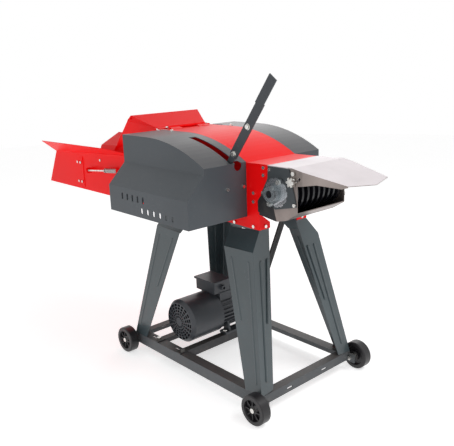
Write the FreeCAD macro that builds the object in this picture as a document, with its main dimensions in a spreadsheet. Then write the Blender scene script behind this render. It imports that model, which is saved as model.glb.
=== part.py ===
import FreeCAD, Part
import Sketcher
import math
import os

Vector = FreeCAD.Vector
Placement = FreeCAD.Placement
Rotation = FreeCAD.Rotation

doc = FreeCAD.newDocument("ChaffCutter")
sheet = doc.addObject("Spreadsheet::Sheet", "Sizes")
row = 0


# A length or an expression of lengths: its number and its formula go together
class Size:
    def __init__(self, value, text):
        self.value = float(value)
        self.text = text

    def __add__(self, other):
        other = sized(other)
        return Size(self.value + other.value, "(%s + %s)" % (self.text, other.text))

    def __radd__(self, other):
        return sized(other) + self

    def __sub__(self, other):
        other = sized(other)
        return Size(self.value - other.value, "(%s - %s)" % (self.text, other.text))

    def __rsub__(self, other):
        return sized(other) - self

    def __mul__(self, other):
        other = sized(other)
        return Size(self.value * other.value, "(%s * %s)" % (self.text, other.text))

    def __rmul__(self, other):
        return sized(other) * self

    def __truediv__(self, other):
        other = sized(other)
        return Size(self.value / other.value, "(%s / %s)" % (self.text, other.text))

    def __neg__(self):
        return Size(-self.value, "(0 - %s)" % self.text)

    def __float__(self):
        return self.value


def sized(thing):
    if isinstance(thing, Size):
        return thing
    return Size(thing, "(%.6f)" % thing)


# A driving dimension: a cell of the sheet with a word for its alias
def size(alias, value):
    global row
    row = row + 1
    sheet.set("A%d" % row, alias)
    sheet.set("B%d" % row, str(value))
    sheet.setAlias("B%d" % row, alias)
    return Size(value, "Sizes." + alias)


# Overall layout, measured from the middle of the base on the ground
sheet_thick = size("sheet_thick", 3)
body_half = size("body_half", 142)
body_end = size("body_end", 310)
run_gap = size("run_gap", 0.05)
seat_gap = size("seat_gap", 0.3)

# Base frame of angle section on four wheels
rail_side = size("rail_side", 284)
rail_wide = size("rail_wide", 50)
rail_thick = size("rail_thick", 5)
rail_reach = size("rail_reach", 441)
end_wide = size("end_wide", 40)
end_thick = size("end_thick", 4)
tab_thick = size("tab_thick", 6)
tab_past = size("tab_past", 33)
tab_reach = rail_reach + tab_past
wheel_round = size("wheel_round", 62.5)
wheel_wide = size("wheel_wide", 46)
wheel_off = size("wheel_off", 18)
wheel_inner = rail_side + wheel_off
axle_past = size("axle_past", 10)
wheel_along = rail_reach + axle_past
rail_lift = size("rail_lift", 27.5)
rail_top = wheel_round + rail_lift
axle_round = size("axle_round", 8)
motor_rail_wide = size("motor_rail_wide", 35)
motor_rail_high = size("motor_rail_high", 40)
foot_middle = size("foot_middle", -188)
foot_hole = 6.1
foot_bolts = (6, 146)
foot_reach = 93
rail_bolts = (-258, 258)

# Legs of pressed angle, given for the outlet side at the far side
leg_knee_along = size("leg_knee_along", 323)
leg_knee_side = size("leg_knee_side", 199)
leg_knee_high = size("leg_knee_high", 644)
leg_top_high = size("leg_top_high", 720)

# Body shell
arch_round = size("arch_round", 750)
arch_along = size("arch_along", -130)
arch_high = size("arch_high", 1087)
lip_along = size("lip_along", 240)
lip_end = size("lip_end", 360)
lip_high = size("lip_high", 991)
corner_along = size("corner_along", 305)
corner_high = size("corner_high", 797)
leg_low_along = rail_reach
leg_low_side = rail_side
leg_top_along = corner_along - sheet_thick / 2
leg_top_side = body_half - sheet_thick / 2
cover_low = size("cover_low", 768)
cover_end = size("cover_end", 236)
near_reach = size("near_reach", 446)
near_upper = size("near_upper", 360)
far_reach = size("far_reach", 300)
cover_bend = size("cover_bend", 880)
cover_neck = size("cover_neck", 967)

# Cutting rotor and its pulley
rotor_along = size("rotor_along", 20)
rotor_high = size("rotor_high", 905)
rotor_round = size("rotor_round", 145)
rotor_shaft = size("rotor_shaft", 20)
rotor_pulley_round = size("rotor_pulley_round", 140)
belt_side = size("belt_side", 255)
pulley_wide = size("pulley_wide", 38)
groove_pitch = size("groove_pitch", 19)
groove_deep = size("groove_deep", 12)

# Feed rollers
roller_along = size("roller_along", -180)
roller_low = size("roller_low", 790)
roller_high = size("roller_high", 894)
roller_round = size("roller_round", 47)
roller_shaft = size("roller_shaft", 15)
gear_side = size("gear_side", 172)
gear_wide = size("gear_wide", 22)
gear_teeth = 26

# Motor
motor_along = size("motor_along", -185)
motor_high = size("motor_high", 195)
motor_shaft_round = size("motor_shaft_round", 14)
cowl_round = size("cowl_round", 104)
cowl_end = size("cowl_end", -205)
fin_round = size("fin_round", 98)
motor_pulley_round = size("motor_pulley_round", 62)

# Feed tray and throat
tray_end = size("tray_end", 1489)
tray_joint = size("tray_joint", 1100)
tray_side = size("tray_side", 153)
tray_low = size("tray_low", 712)
tray_floor = size("tray_floor", 828)

# Outlet
drum_along = size("drum_along", 405)
drum_high = size("drum_high", 890)
drum_round = size("drum_round", 88)
drum_shaft = size("drum_shaft", 15)
chute_past = size("chute_past", 100)
chute_end = drum_along + chute_past
tilt_along = chute_end - 5
tilt_high = size("tilt_high", 974)
nose_reach = size("nose_reach", 785)

# Lever
lever_along = size("lever_along", 104)
lever_high = size("lever_high", 850)
lever_side = size("lever_side", 205)
lever_lean = size("lever_lean", 37)

# The origin is moved to the middle of the whole outline
wheel_outer = wheel_inner + wheel_wide
shift_along = (tray_end - nose_reach) / 2
shift_side = (near_reach - wheel_outer) / 2
shift = (shift_along, shift_side, sized(0))


def place(thing, x=0, y=0, z=0, turn=None):
    if turn is not None:
        thing.Placement = Placement(Vector(0, 0, 0), turn)
    for axis, own, moved in zip("xyz", (x, y, z), shift):
        thing.setExpression("Placement.Base." + axis, (sized(own) + moved).text)


def bind(thing, name, length):
    length = sized(length)
    setattr(thing, name, length.value)
    thing.setExpression(name, length.text)


# A sketch on one of the body's own planes, every corner tied to the sheet
def outline(body, name, plane, offset, loops):
    sketch = body.newObject("Sketcher::SketchObject", name)
    for feature in body.Origin.OriginFeatures:
        if feature.Role == plane:
            sketch.AttachmentSupport = [(feature, "")]
    sketch.MapMode = "FlatFace"
    sketch.setExpression("AttachmentOffset.Base.z", sized(offset).text)
    for loop in loops:
        if loop[0] == "round":
            middle = [sized(part) for part in loop[1:4]]
            centre = Vector(middle[0].value, middle[1].value, 0)
            edge = sketch.addGeometry(Part.Circle(centre, Vector(0, 0, 1), middle[2].value), False)
            for kind, length in zip(("DistanceX", "DistanceY"), middle):
                tie = sketch.addConstraint(Sketcher.Constraint(kind, -1, 1, edge, 3, length.value))
                sketch.setExpression("Constraints[%d]" % tie, length.text)
            tie = sketch.addConstraint(Sketcher.Constraint("Radius", edge, middle[2].value))
            sketch.setExpression("Constraints[%d]" % tie, middle[2].text)
            continue
        corners = [(sized(a), sized(b)) for a, b in loop]
        count = len(corners)
        first = sketch.GeometryCount
        for index in range(count):
            start = corners[index]
            stop = corners[(index + 1) % count]
            line = Part.LineSegment(Vector(float(start[0]), float(start[1]), 0),
                                    Vector(float(stop[0]), float(stop[1]), 0))
            sketch.addGeometry(line, False)
        for index in range(count):
            following = first + (index + 1) % count
            sketch.addConstraint(Sketcher.Constraint("Coincident", first + index, 2, following, 1))
        for index in range(count):
            for kind, length in zip(("DistanceX", "DistanceY"), corners[index]):
                tie = sketch.addConstraint(
                    Sketcher.Constraint(kind, -1, 1, first + index, 1, length.value))
                sketch.setExpression("Constraints[%d]" % tie, length.text)
    return sketch


def new_body(label):
    body = doc.addObject("PartDesign::Body", label)
    body.Label = label
    place(body)
    return body


# Plates are drawn along their plane's normal: XZ_Plane looks towards -Y, so its start is -y
def pad(body, plane, start, loops, thick):
    number = len(body.Group)
    sketch = outline(body, "%s_s%d" % (body.Name, number), plane, start, loops)
    feature = body.newObject("PartDesign::Pad", "%s_p%d" % (body.Name, number))
    feature.Profile = sketch
    bind(feature, "Length", thick)
    return feature


def pocket(body, plane, start, loops, deep):
    number = len(body.Group)
    sketch = outline(body, "%s_s%d" % (body.Name, number), plane, start, loops)
    feature = body.newObject("PartDesign::Pocket", "%s_c%d" % (body.Name, number))
    feature.Profile = sketch
    bind(feature, "Length", deep)
    return feature


def plate(label, plane, start, loops, thick):
    body = new_body(label)
    pad(body, plane, start, loops, thick)
    return body


# A turned piece about an axis along Y: the profile holds (radius, y) pairs
TURN_TO_SIDE = Rotation(Vector(1, 0, 0), -90)


def turned(label, along, high, profile):
    body = doc.addObject("PartDesign::Body", label)
    body.Label = label
    sketch = outline(body, label + "_s", "XZ_Plane", 0, [profile])
    feature = body.newObject("PartDesign::Revolution", label + "_r")
    feature.Profile = sketch
    feature.ReferenceAxis = (sketch, ["V_Axis"])
    feature.Angle = 360
    place(body, along, 0, high, TURN_TO_SIDE)
    return body


# Loose shapes in the base's own coordinates, for pieces that no single sketch makes
def box(x0, x1, y0, y1, z0, z1):
    x0, x1, y0, y1, z0, z1 = [float(edge) for edge in (x0, x1, y0, y1, z0, z1)]
    return Part.makeBox(x1 - x0, y1 - y0, z1 - z0, Vector(x0, y0, z0))


def rod_along_y(x, z, radius, y0, y1):
    return Part.makeCylinder(float(radius), float(y1) - float(y0),
                             Vector(float(x), float(y0), float(z)), Vector(0, 1, 0))


def prism(plane, start, corners, thick):
    start = float(start)
    if plane == "XZ":
        points = [Vector(float(a), start, float(b)) for a, b in corners]
        normal = Vector(0, 1, 0)
    elif plane == "YZ":
        points = [Vector(start, float(a), float(b)) for a, b in corners]
        normal = Vector(1, 0, 0)
    else:
        points = [Vector(float(a), float(b), start) for a, b in corners]
        normal = Vector(0, 0, 1)
    face = Part.Face(Part.makePolygon(points + points[:1]))
    return face.extrude(normal * float(thick))


def mirrored(shape, across_x, across_y):
    if across_x:
        shape = shape.mirror(Vector(0, 0, 0), Vector(1, 0, 0))
    if across_y:
        shape = shape.mirror(Vector(0, 0, 0), Vector(0, 1, 0))
    return shape


def keep(label, shape, along=0, side=0, high=0, turn=None):
    if len(shape.Solids) == 1:
        shape = shape.Solids[0]
    piece = doc.addObject("Part::Feature", label)
    piece.Label = label
    piece.Shape = shape
    place(piece, along, side, high, turn)
    return piece


# Folded sheet about its middle surface: flat panels with rounded folds between them
def folded(panels, folds, thick):
    half = float(thick) / 2
    pieces = []
    for panel in panels:
        points = [Vector(*point) for point in panel]
        normal = (points[1] - points[0]).cross(points[2] - points[0]).normalize()
        flat = []
        for point in points:
            flat.append(point - normal * (point - points[0]).dot(normal))
        face = Part.Face(Part.makePolygon([point - normal * half for point in flat + flat[:1]]))
        pieces.append(face.extrude(normal * float(thick)))
    for start, stop in folds:
        start = Vector(*start)
        stop = Vector(*stop)
        run = stop - start
        pieces.append(Part.makeCylinder(half * 1.35, run.Length, start, run))
    return pieces[0].fuse(pieces[1:])


# Base frame: side rails with the axle tabs welded inside their ends
for label, way in (("side_rail_near", -1), ("side_rail_far", 1)):
    near = way < 0
    rail = new_body(label)
    outer = rail_side if not near else -rail_side
    wall_in = rail_side - rail_thick
    flange_in = rail_side - rail_wide
    section = [(way * flange_in, rail_top - rail_thick), (way * wall_in, rail_top - rail_thick),
               (way * wall_in, rail_top - rail_wide), (way * rail_side, rail_top - rail_wide),
               (way * rail_side, rail_top), (way * flange_in, rail_top)]
    pad(rail, "YZ_Plane", -rail_reach, [section], rail_reach * 2)
    doc.recompute()
    for end in (-1, 1):
        tab = [(end * (tab_reach - 69), wheel_round - 20.5), (end * tab_reach, wheel_round - 20.5),
               (end * tab_reach, wheel_round + 20.5), (end * (tab_reach - 69), wheel_round + 20.5)]
        hole = ("round", end * wheel_along, wheel_round, axle_round + run_gap)
        start = wall_in - tab_thick if near else -wall_in
        pad(rail, "XZ_Plane", start, [tab, hole], tab_thick)
    for slot_along in (-321, -141):
        slot = [(slot_along - 20, way * (flange_in + 14)), (slot_along + 20, way * (flange_in + 14)),
                (slot_along + 20, way * (flange_in + 22)), (slot_along - 20, way * (flange_in + 22))]
        pocket(rail, "XY_Plane", rail_top, [slot], rail_thick + 1)

# End rails, tops flush with the side rails
for label, way in (("end_rail_feed", -1), ("end_rail_outlet", 1)):
    rail = new_body(label)
    low = rail_top - end_wide
    notch = rail_side - rail_wide
    reach = rail_side - rail_thick - tab_thick - seat_gap
    face = [(-reach, low), (reach, low), (reach, rail_top - rail_thick - seat_gap),
            (notch, rail_top - rail_thick - seat_gap), (notch, rail_top),
            (-notch, rail_top), (-notch, rail_top - rail_thick - seat_gap),
            (-reach, rail_top - rail_thick - seat_gap)]
    start = rail_reach - end_thick if way > 0 else -rail_reach
    slots = []
    for slot_side in (-118, 102):
        slots.append([(slot_side - 16, low + 14), (slot_side + 16, low + 14),
                      (slot_side + 16, low + 22), (slot_side - 16, low + 22)])
    pad(rail, "YZ_Plane", start, [face] + slots, end_thick)
    top = [(way * (rail_reach - end_wide), -notch), (way * (rail_reach - 1), -notch),
           (way * (rail_reach - 1), notch), (way * (rail_reach - end_wide), notch)]
    pad(rail, "XY_Plane", rail_top - end_thick, [top], end_thick)

# Two angles across the side rails carry the motor
motor_seat = rail_top + rail_thick
for label, way in (("motor_rail_feed", -1), ("motor_rail_outlet", 1)):
    rail = new_body(label)
    inner = foot_middle + way * 70
    outer = foot_middle + way * (70 + motor_rail_wide)
    notch = rail_side - rail_wide - 1
    top = [(inner, -rail_side), (outer, -rail_side), (outer, rail_side), (inner, rail_side)]
    holes = []
    for across in rail_bolts + foot_bolts:
        holes.append(("round", foot_middle + way * foot_reach, across, foot_hole))
    pad(rail, "XY_Plane", rail_top, [top] + holes, rail_thick)
    web_start = outer - rail_thick if way > 0 else outer
    web = [(-notch, motor_seat - motor_rail_high), (notch, motor_seat - motor_rail_high),
           (notch, motor_seat - 1), (-notch, motor_seat - 1)]
    pad(rail, "YZ_Plane", web_start, [web], rail_thick)

# Four wheels on short axles, with radial ribs in the outer recess
tread = wheel_round
spoke_count = 8
spoke_half = 1.8
spoke_high = 9
for end, end_name in ((-1, "feed"), (1, "outlet")):
    for side, side_name in ((-1, "near"), (1, "far")):
        inner = side * wheel_inner
        outer = side * wheel_outer
        bore = axle_round + run_gap
        profile = [(bore, side * (wheel_inner + 2)), (22, side * (wheel_inner + 2)),
                   (24, side * (wheel_inner + 12)), (tread - 22, side * (wheel_inner + 12)),
                   (tread - 18, inner), (tread - 4, inner), (tread, side * (wheel_inner + 4)),
                   (tread, side * (wheel_outer - 4)), (tread - 4, outer), (tread - 18, outer),
                   (tread - 22, side * (wheel_outer - 12)), (24, side * (wheel_outer - 12)),
                   (20, side * (wheel_outer - 9)), (bore, side * (wheel_outer - 9))]
        wheel = turned("wheel_%s_%s" % (end_name, side_name), end * wheel_along, wheel_round, profile)
        spokes = []
        for index in range(spoke_count):
            turn = math.radians(360.0 * index / spoke_count)
            corners = []
            for reach, across in ((18, -spoke_half), (tread - 20, -spoke_half),
                                  (tread - 20, spoke_half), (18, spoke_half)):
                corners.append((reach * math.cos(turn) - across * math.sin(turn),
                                reach * math.sin(turn) + across * math.cos(turn)))
            spokes.append(corners)
        start = wheel_outer - 13 if side > 0 else 13 - spoke_high - wheel_outer
        pad(wheel, "XY_Plane", start, spokes, spoke_high)


# A bolt with a hexagon head along any direction, given at the face that its head bears on
def hex_bolt(x, y, z, way, across, head, shank, below):
    way = Vector(*way)
    base = Vector(float(x), float(y), float(z))
    corners = []
    for index in range(7):
        turn = math.radians(60 * index)
        reach = float(across) / math.sqrt(3)
        corners.append(Vector(reach * math.cos(turn), reach * math.sin(turn), 0))
    solid = Part.Face(Part.makePolygon(corners)).extrude(Vector(0, 0, float(head)))
    stem = Part.makeCylinder(float(shank), float(below), Vector(0, 0, -float(below)))
    solid = solid.fuse(stem)
    solid.Placement = Placement(base, Rotation(Vector(0, 0, 1), way))
    return solid


axles = []
for end in (-1, 1):
    for side in (-1, 1):
        inner = float(rail_side - rail_thick - tab_thick)
        length = float(wheel_outer) - 9 - inner + 0.5
        bolt = hex_bolt(end * float(wheel_along), side * (float(wheel_outer) - 8.5), wheel_round,
                        (0, side, 0), 19, 8, axle_round, length + 8)
        collar = rod_along_y(end * float(wheel_along), wheel_round, 13,
                             min(side * 284.3, side * 303.7), max(side * 284.3, side * 303.7))
        nut = hex_bolt(end * float(wheel_along), side * (inner - 0), wheel_round,
                       (0, -side, 0), 16.6, 9, axle_round, 2)
        axles.append(bolt.fuse([collar, nut]))
keep("axle_bolts", Part.makeCompound(axles))

# Legs: two slanting flanges with pressed ribs, then upright lugs inside the body corner
leg_low = float(rail_top)
bolt_hole = 4.1
lug_bolt_high = float(leg_top_high) + 12
end_bolt_side = float(body_half) - 32
corner_bolts = (float(corner_along) - 144, float(corner_along) - 31)


def leg_shape():
    thick = float(sheet_thick)
    low = (float(leg_low_along), float(leg_low_side), leg_low)
    knee = (float(leg_knee_along), float(leg_knee_side), float(leg_knee_high))
    top = (float(leg_top_along), float(leg_top_side), float(leg_top_high))

    def below(upper, lower, drop):
        return tuple(b + (b - a) * drop for a, b in zip(upper, lower))

    foot = below(knee, low, 0.02)
    edge_foot = (low[0] + 6, low[1] - 77, low[2] + 16)
    edge_knee = (knee[0] - 1, knee[1] - 97, knee[2] - 20)
    edge_top = (top[0] - 2, top[1] - 57.5, top[2] - 3)
    wide_foot = (low[0] - 91, low[1], low[2] - 1)
    wide_knee = (knee[0] - 172, knee[1], knee[2] - 5)
    wide_top = (top[0] - 176.5, top[1], top[2] - 13)
    ends = [[foot, knee, top, edge_top, edge_knee, below(edge_knee, edge_foot, 0.02)],
            [foot, knee, wide_knee, below(wide_knee, wide_foot, 0.03)],
            [knee, top, wide_top, wide_knee]]
    flanges = []
    for panel in ends:
        points = [Vector(*point) for point in panel]
        normal = (points[1] - points[0]).cross(points[2] - points[0]).normalize()
        inward = Vector(0, 0, 400) - points[1]
        if normal.dot(inward) < 0:
            normal = normal * -1
        flat = [point - normal * (point - points[0]).dot(normal) for point in points]
        face = Part.Face(Part.makePolygon(flat + flat[:1]))
        flanges.append(face.extrude(normal * thick))
    ribs = []
    rib_round = 5
    sunk = 2.3

    # A place on the lower flange: its part of the way up from foot to knee, and across from the ridge
    def on_flange(rise, across, wide):
        ridge = [a + (b - a) * rise for a, b in zip(low, knee)]
        if wide:
            return Vector(ridge[0] - across, ridge[1] - sunk, ridge[2])
        return Vector(ridge[0] - sunk, ridge[1] - across, ridge[2])

    for rise, across, stop_rise, stop_across, wide in (
            (0.92, 131, 0.49, 95, True), (0.92, 29, 0.08, 24, True),
            (0.92, 42, 0.09, 36, False), (0.92, 81, 0.485, 63, False)):
        a = on_flange(rise, across, wide)
        b = on_flange(stop_rise, stop_across, wide)
        ribs.append(Part.makeCylinder(rib_round, (b - a).Length, a, b - a))
        ribs.append(Part.makeSphere(rib_round, a))
        ribs.append(Part.makeSphere(rib_round, b))
    lug_top = leg_top_high + 22
    inner_side = body_half - sheet_thick
    inner_along = corner_along - sheet_thick
    lugs = [box(inner_along - 172, inner_along, inner_side - sheet_thick, inner_side,
                leg_top_high - 6, lug_top),
            box(inner_along - sheet_thick, inner_along, inner_side - 54, inner_side,
                leg_top_high - 12, lug_top)]
    leg = flanges[0].fuse(flanges[1:] + ribs + lugs)
    ground = box(0, 2 * rail_reach, 0, 2 * rail_side, 0, leg_low)
    leg = leg.cut(ground)
    for x in corner_bolts:
        leg = leg.cut(rod_along_y(x, lug_bolt_high, bolt_hole, inner_side - 20, inner_side + 20))
    hole = Part.makeCylinder(bolt_hole, 30, Vector(inner_along - 15, end_bolt_side, lug_bolt_high),
                             Vector(1, 0, 0))
    return leg.cut(hole)


leg = leg_shape()
for end, end_name in ((-1, "feed"), (1, "outlet")):
    for side, side_name in ((-1, "near"), (1, "far")):
        keep("leg_%s_%s" % (end_name, side_name), mirrored(leg, end < 0, side < 0))


# The arch that roofs the body and the covers, drawn in XZ and lowered by a depth
def arch_points(depth, start, stop, count):
    radius = float(arch_round) - float(depth)
    middle = float(arch_high) - float(arch_round)
    points = []
    if start < float(arch_along):
        points.append((float(start), float(arch_high) - float(depth)))
        start = float(arch_along)
    for index in range(count + 1):
        x = start + (stop - start) * index / count
        points.append((x, middle + math.sqrt(radius ** 2 - (x - float(arch_along)) ** 2)))
    return points


# Body walls with the folded corner gussets and the guides of the floating roller
shell = float(sheet_thick)
half = float(body_half)
roof_gap = shell + float(seat_gap)
guide_low = float(roller_high) - 56
guide_top = float(roller_high) + 50
drum_x = float(drum_along)
drum_z = float(drum_high)
neck_x = float(corner_along)
neck_z = float(corner_high)
wall_bolts = ((neck_x + 30, float(lip_high) - 13), (neck_x + 30, float(lip_high) - 42),
              (neck_x - 27, neck_z + 74), (neck_x - 28, neck_z + 38))

# The walls' edge at the outlet, from the corner gusset up to the lip
neck_edge = [(neck_x, neck_z), (neck_x - 7, neck_z), (neck_x - 8, neck_z + 45),
             (neck_x + 13, neck_z + 73), (float(lip_end) - 4, 937)]


def wall_shape():
    roof = []
    for x, z in arch_points(roof_gap, -float(body_end), float(lip_along), 12):
        roof.insert(0, (x, z))
    corner = float(corner_along)
    low = float(leg_top_high)
    edge = [(-corner, low), (-111, low + 5), (-111, cover_low), (111, cover_low), (111, low + 5),
            (corner, low)] + neck_edge + [(neck_edge[-1][0] + 2, lip_high - 3.4)]
    left = [(-body_end, corner_high), (-corner, corner_high)]
    wall = prism("XZ", half - shell, edge + roof + left, shell)
    for side in (-1, 1):
        gusset = [(half - 61, low + 0.3), (half, low + 0.3), (half, low + 64), (half - 10, low + 64),
                  (half - 61, low + 25)]
        start = corner - shell if side > 0 else -corner
        flange = prism("YZ", start, gusset, shell)
        wall = wall.fuse(flange)
    for x in (roller_along - 50, roller_along + 36):
        guide = box(x, x + 14, half - 1, half + 20, guide_low, guide_top)
        wall = wall.fuse(guide)
    wall = wall.cut(rod_along_y(rotor_along, rotor_high, 26, 100, 200))
    wall = wall.cut(rod_along_y(roller_along, roller_low, roller_shaft + run_gap, 100, 200))
    slot_half = float(roller_shaft) + 2
    slot = box(roller_along - slot_half, roller_along + slot_half, 100, 200,
               roller_high - slot_half, roller_high + slot_half + 15)
    wall = wall.cut(slot)
    for x in corner_bolts:
        for end in (-1, 1):
            wall = wall.cut(rod_along_y(end * x, lug_bolt_high, bolt_hole, 100, 200))
    for x, z in wall_bolts:
        wall = wall.cut(rod_along_y(x, z, bolt_hole, 100, 200))
    for x in (-corner - 15, corner - 15):
        wall = wall.cut(Part.makeCylinder(bolt_hole, 30, Vector(x, end_bolt_side, lug_bolt_high),
                                          Vector(1, 0, 0)))
    return wall


wall = wall_shape()
keep("wall_far", wall)
keep("wall_near", mirrored(wall, False, True))


# Trough under the rotor, running out to the drum housing, with cheeks at the outlet neck
def trough_points(radius, first, last, count):
    points = []
    for index in range(count + 1):
        turn = math.radians(first + (last - first) * index / count)
        points.append((float(rotor_along) + radius * math.cos(turn),
                       float(rotor_high) + radius * math.sin(turn)))
    return points


inside = half - shell
trough_round = float(rotor_round) + 8
pan_start = (drum_x - 6, drum_z - 114)
bridge_at = (neck_x - 5, neck_z - 7)
upper = trough_points(trough_round, 228, 330, 14) + [bridge_at, pan_start]
lower = trough_points(trough_round + shell, 228, 330, 14)
lower = lower + [(x, z - shell - 0.2) for x, z in (bridge_at, pan_start)]
trough = prism("XZ", -inside, upper + lower[::-1], inside * 2)
cheek = [(neck_x + 0.5, neck_z - 11), (neck_x + 0.5, neck_z + 0.5), (neck_x - 6.4, neck_z + 0.5),
         (neck_x - 7.4, neck_z + 44.8), (neck_x + 13.6, neck_z + 72.4), (drum_x - 22, drum_z - 60.7),
         (drum_x - 13.8, drum_z - 90), (drum_x - 7, drum_z - 112), (drum_x - 9, drum_z - 116.6),
         (neck_x + 25, neck_z - 14)]
for side in (-1, 1):
    start = half - shell if side > 0 else -half
    trough = trough.fuse(prism("XZ", start, cheek, shell))
keep("body_floor", trough)

# Hood over rotor and rollers, hinged at its feed end, with two knuckles
hood_half = half - float(seat_gap)
outer_roof = arch_points(0, -float(body_end), float(lip_along), 12)
inner_roof = arch_points(shell, -float(body_end), float(lip_along), 12)
outer_roof = outer_roof + [(float(lip_end), float(lip_high))]
inner_roof = inner_roof + [(float(lip_end), float(lip_high) - shell)]
hood = prism("XZ", -hood_half, outer_roof + inner_roof[::-1], hood_half * 2)
hinge_along = -float(body_end) - 4
hinge_high = float(arch_high) + 8
knuckle_round = 7
pin_round = 4
pin_bore = pin_round + float(run_gap)
for start in (-110, 50):
    knuckle = rod_along_y(hinge_along, hinge_high, knuckle_round, start, start + 60)
    strap = prism("XZ", start, [(hinge_along - 2, hinge_high - 5), (hinge_along + 38, hinge_high - 10),
                                (hinge_along + 38, hinge_high - 6.5), (hinge_along + 8, hinge_high),
                                (hinge_along, hinge_high + 6)], 60)
    hood = hood.fuse([knuckle, strap])
hood = hood.cut(rod_along_y(hinge_along, hinge_high, pin_bore, -140, 140))
keep("hood", hood)
keep("hinge_pin", rod_along_y(hinge_along, hinge_high, pin_round, -122, 122))


# Side covers: a shell with an arched roof, open below and towards the body
def cover_shape(section, inner_section, start, stop):
    roof = [(start, 700)] + arch_points(0, start, stop, 12) + [(stop, 700)]
    under = [(start + shell, 600)] + arch_points(shell, start + shell, stop - shell, 12)
    under = under + [(stop - shell, 600)]
    outer = prism("YZ", start, section, stop - start).common(prism("XZ", 0, roof, 700))
    inner = prism("YZ", start - 5, inner_section, stop - start + 10)
    inner = inner.common(prism("XZ", 0, under, 700))
    return outer.cut(inner)


side_low = float(near_reach)
side_up = float(near_upper)
near_section = [(half, cover_low), (side_low, cover_low), (side_low, cover_bend),
                (side_up, cover_neck), (side_up, 1150), (half, 1150)]
near_inner = [(half - 5, float(cover_low) - 60), (side_low - shell, float(cover_low) - 60),
              (side_low - shell, float(cover_bend) - 1.2), (side_up - shell, float(cover_neck) - 1.2),
              (side_up - shell, 1160), (half - 5, 1160)]
near_cover = cover_shape(near_section, near_inner, -float(body_end), float(cover_end))
slot_round = 6
for count, first, pitch, low, high in ((5, -209, 38, 829, 858), (6, -70, 42, 786, 810)):
    for index in range(count):
        x = first + pitch * index
        cut = box(x - slot_round, x + slot_round, side_low - 10, side_low + 10,
                  low + slot_round, high - slot_round)
        for z in (low + slot_round, high - slot_round):
            cut = cut.fuse(rod_along_y(x, z, slot_round, side_low - 10, side_low + 10))
        near_cover = near_cover.cut(cut)
face_along = float(cover_end)
lever_middle = float(lever_side) + 2.5
near_cover = near_cover.cut(box(-20, face_along - 4, lever_middle - 17.5, lever_middle + 17.5, 940, 1150))
round_hole = Part.makeCylinder(20, 30, Vector(face_along - 16, 186, 981), Vector(1, 0, 0))
near_cover = near_cover.cut(round_hole)
cover_bolt_high = 895
cover_bolt_sides = (246, 160)
for y in cover_bolt_sides:
    hole = Part.makeCylinder(bolt_hole, 10, Vector(face_along - 6, y, cover_bolt_high), Vector(1, 0, 0))
    near_cover = near_cover.cut(hole)
near_cover = near_cover.cut(box(-315, -300, half - 5, half + 10, 760, 960))
keep("near_cover", mirrored(near_cover, False, True))

far_section = [(half, cover_low), (far_reach, cover_low), (far_reach, 1150), (half, 1150)]
far_inner = [(half - 5, float(cover_low) - 60), (float(far_reach) - shell, float(cover_low) - 60),
             (float(far_reach) - shell, 1160), (half - 5, 1160)]
far_cover = cover_shape(far_section, far_inner, -float(body_end), float(lip_along))
far_cover = far_cover.cut(box(-315, -229, half + 4, half + 16, 1040, 1150))
keep("far_cover", far_cover)


# Feed tray: the sheet's profile across the tray, drawn at several stations and lofted
def tray_section(fold, wing_out, wing_up):
    side = float(tray_side)
    thin = shell * 0.8
    low = float(tray_low)
    deck = float(tray_floor)
    slope = math.atan2(wing_up, wing_out)
    dy = thin * math.sin(slope)
    dz = thin * math.cos(slope)
    right = [(side, low), (side, fold - 1), (side + wing_out, fold + wing_up),
             (side + wing_out - dy, fold + wing_up + dz), (side - thin, fold + 1)]
    right = right + [(side - thin, deck)]
    left = [(-y, z) for y, z in right]
    under = [(-(side - thin), low), (-(side - thin), deck - thin),
             (side - thin, deck - thin), (side - thin, low)]
    return right + left[::-1] + under


def tray_loft(stations):
    wires = []
    for x, fold, out, up in stations:
        corners = tray_section(fold, out, up)
        points = [Vector(x, y, z) for y, z in corners]
        wires.append(Part.makePolygon(points + points[:1]))
    return Part.makeLoft(wires, True, True)


outer_tray = tray_loft([(-1500, 898, 117, 78), (-float(tray_joint), 917, 88, 58)])
wedge = [(-1600, 600), (-1489 - (712 - 600) * 0.597, 600), (-1489 + (1100 - 712) * 0.597, 1100),
         (-1600, 1100)]
outer_tray = outer_tray.cut(prism("XZ", -400, wedge, 800))
splice_bolts = ((-1085, 863), (-1083, 755), (-1117, 863), (-1117, 755))
for x, z in splice_bolts:
    outer_tray = outer_tray.cut(rod_along_y(x, z, bolt_hole, -200, 200))
keep("tray_outer", outer_tray)
inner_tray = tray_loft([(-float(tray_joint) + 0.3, 917, 88, 58), (-735, 935, 52, 36),
                        (-600, 942, 20, 14), (-346, 957, 4, 3)])
for side in (-1, 1):
    splice = prism("XZ", 153 if side > 0 else -156, [(-1128, 724), (-1066, 724), (-1066, 896),
                                                      (-1128, 896)], 3)
    inner_tray = inner_tray.fuse(splice)
deck = float(tray_floor)
bridge = box(-347, -236, -inside, inside, deck - 2.4, deck)
apron = box(-347, -310, -150.6, 150.6, deck - 2.4, deck)
inner_tray = inner_tray.fuse([bridge, apron])
for side in (-1, 1):
    post = prism("XZ", 150.6 if side > 0 else -153, [(-347, 712), (-313, 712), (-313, 1084),
                                                    (-347, 1084)], 2.4)
    foot = prism("XZ", half if side > 0 else -half - 11, [(-316, 740), (-313, 740), (-313, 815),
                                                   (-316, 815)], 11)
    inner_tray = inner_tray.fuse([post, foot])
rod_side = 178
rod_slope = 0.0946
for x in (-968, -663):
    z = 834 + (x + 963) * rod_slope
    tab = box(x - 2, x + 2, -rod_side - 14, -152.8, z - 14, z + 14)
    inner_tray = inner_tray.fuse(tab)
rod_way = Vector(1, 0, rod_slope).normalize()
rod_start = Vector(-985, -rod_side, 834 - 22 * rod_slope)
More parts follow.
